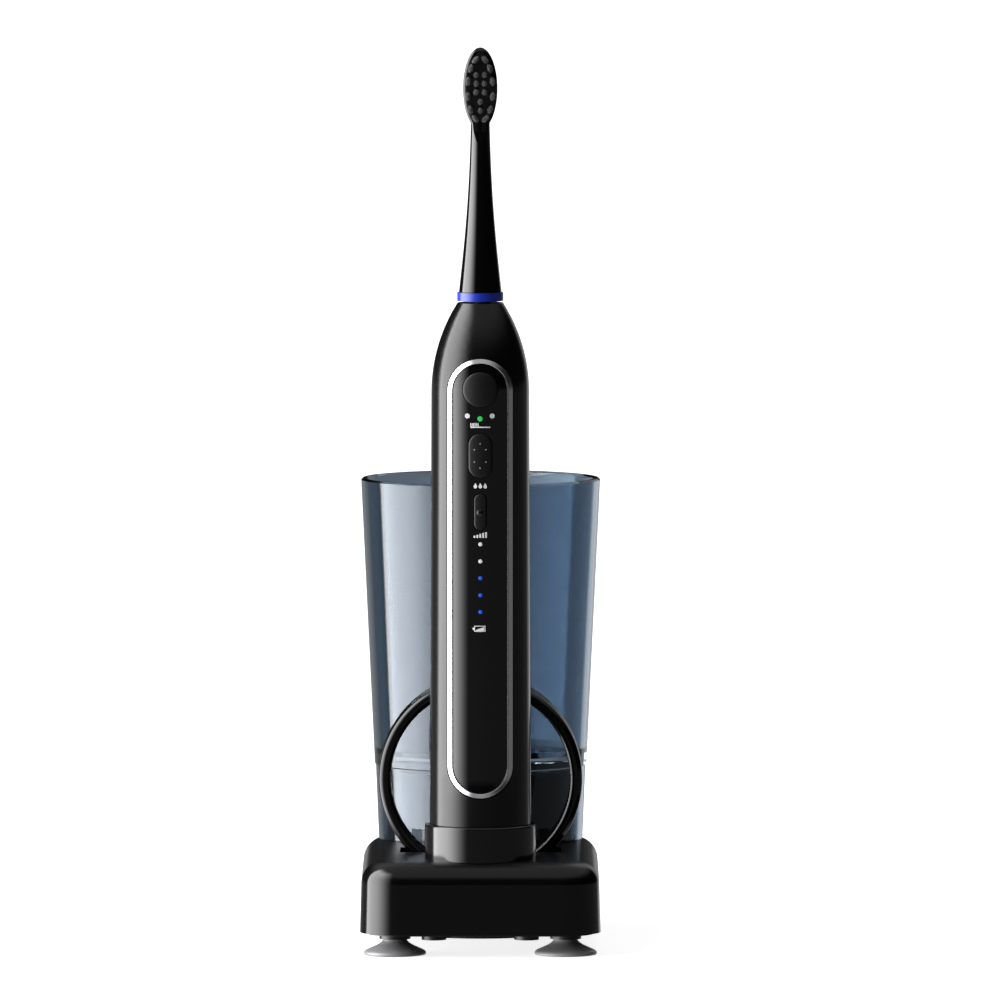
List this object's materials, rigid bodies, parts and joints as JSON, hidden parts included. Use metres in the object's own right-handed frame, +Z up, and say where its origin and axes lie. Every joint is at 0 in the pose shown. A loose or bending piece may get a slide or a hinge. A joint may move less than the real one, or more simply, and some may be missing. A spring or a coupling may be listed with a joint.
{
  "type": "toothbrush and water flosser station",
  "caption": "Sonic toothbrush and water flosser handle standing in a dock on a pump base with a clear water tank, coiled hose and suction feet.",
  "frame": {"origin": "on the standing surface, under the middle of the object's bounding box", "axes": "+Z up along the handle, -Y towards the user at the control panel, +X to the user's right"},
  "size_m": [0.084, 0.1455, 0.3132],
  "materials": {
    "base_plastic": "satin gloss",
    "cover_plastic": "matte",
    "steel": "drawn",
    "cup_rubber": "soft matte",
    "hose_rubber": "satin",
    "seal_rubber": "matte",
    "pump_plastic": "natural",
    "copper": "enamelled wire",
    "circuit_board": "solder mask",
    "jack_plastic": "matte",
    "tank_plastic": "clear, smoke blue",
    "handle_plastic": "satin gloss",
    "panel_gloss": "gloss",
    "bezel_chrome": "satin",
    "button_plastic": "matte",
    "light_white": "frosted",
    "light_green": "frosted",
    "light_grey": "frosted",
    "light_blue": "frosted",
    "battery_wrap": "shrink wrap",
    "magnet": "plated",
    "brush_plastic": "gloss",
    "bristle": "filament",
    "ring_blue": "satin",
    "nozzle_plastic": "gloss"
  },
  "bodies": {
    "base": {"base_shell": "base_plastic", "bottom_cover": "cover_plastic", "cover_screws": "steel", "suction_cup_front_left": "cup_rubber", "suction_cup_front_right": "cup_rubber", "suction_cup_rear_left": "cup_rubber", "suction_cup_rear_right": "cup_rubber", "dock_collar": "base_plastic", "hose_outlet_fitting": "cover_plastic", "hose_coil": "hose_rubber", "hose_lead": "hose_rubber", "hose_tail": "hose_rubber", "pump_motor": "steel", "gear_axle": "steel", "pump_frame": "cover_plastic", "pump_cylinder": "pump_plastic", "pump_head": "cover_plastic", "check_valves": "seal_rubber", "inlet_spigot": "cover_plastic", "outlet_pipe": "hose_rubber", "charging_coil": "copper", "base_circuit_board": "circuit_board", "power_inlet": "jack_plastic", "tank_gasket": "seal_rubber"},
    "pinion": {"motor_pinion": "steel"},
    "crank": {"crank_gear": "pump_plastic"},
    "piston": {"piston_rod": "pump_plastic", "piston_seal": "seal_rubber"},
    "tank": {"water_tank": "tank_plastic", "valve_cage": "cover_plastic", "valve_spring": "steel"},
    "valve": {"tank_valve": "cover_plastic"},
    "handle": {"bezel_ring": "bezel_chrome", "control_panel": "panel_gloss", "indicator_lights_white": "light_white", "indicator_light_green": "light_green", "indicator_light_grey": "light_grey", "indicator_lights_blue": "light_blue", "button_membrane": "seal_rubber", "handle_shell": "handle_plastic", "handle_end_cap": "cover_plastic", "hose_socket": "cover_plastic", "receiver_coil": "copper", "inner_tray": "cover_plastic", "battery_cell": "battery_wrap", "handle_circuit_board": "circuit_board", "drive_coil": "copper", "shaft_seal": "seal_rubber", "inner_water_tube": "hose_rubber", "water_coupling": "cover_plastic"},
    "power_button": {"power_button": "button_plastic"},
    "mode_button": {"mode_button": "button_plastic"},
    "speed_button": {"speed_button": "button_plastic"},
    "drive": {"drive_shaft": "steel", "drive_magnet": "magnet"},
    "brush": {"brush_body": "brush_plastic", "outer_bristles": "bristle", "inner_bristles": "bristle", "colour_ring": "ring_blue", "jet_nozzle": "nozzle_plastic"}
  },
  "joints": [
    {"name": "handle_lift", "type": "slide", "parent": "base", "child": "handle", "axis": [0, 0, 1], "range_m": [0, 0.03], "deforming": ["hose_lead"]},
    {"name": "power_press", "type": "slide", "parent": "handle", "child": "power_button", "axis": [0, 1, 0], "range_m": [0, 0.0005], "stiffness_N_per_m": 600},
    {"name": "mode_press", "type": "slide", "parent": "handle", "child": "mode_button", "axis": [0, 1, 0], "range_m": [0, 0.0005], "stiffness_N_per_m": 600},
    {"name": "speed_press", "type": "slide", "parent": "handle", "child": "speed_button", "axis": [0, 1, 0], "range_m": [0, 0.0005], "stiffness_N_per_m": 600},
    {"name": "brush_swing", "type": "hinge", "parent": "handle", "child": "drive", "pos_m": [0, -0.04825, 0.15], "axis": [0, 0, 1], "range_deg": [-6, 6], "stiffness_Nm_per_rad": 0.1},
    {"name": "brush_pull", "type": "slide", "parent": "drive", "child": "brush", "axis": [0, 0, 1], "range_m": [0, 0.013]},
    {"name": "tank_lift", "type": "slide", "parent": "base", "child": "tank", "axis": [0, 0, 1], "range_m": [0, 0.04]},
    {"name": "valve_close", "type": "slide", "parent": "tank", "child": "valve", "axis": [0, 0, 1], "range_m": [-0.0015, 0], "deforming": ["valve_spring"]},
    {"name": "crank_turn", "type": "hinge", "parent": "base", "child": "crank", "pos_m": [0.012, 0.02595, 0.0275], "axis": [1, 0, 0], "continuous": true},
    {"name": "pinion_turn", "type": "hinge", "parent": "base", "child": "pinion", "pos_m": [0.012, 0.04275, 0.0275], "axis": [1, 0, 0], "continuous": true},
    {"name": "piston_stroke", "type": "slide", "parent": "base", "child": "piston", "axis": [0, 0, 1], "range_m": [-0.0025, 0.0025]}
  ],
  "couplings": [
    {"joint": "pinion_turn", "follows": "crank_turn", "ratio": -2.5},
    {"joint": "valve_close", "follows": "tank_lift", "ratio": -0.0375}
  ]
}
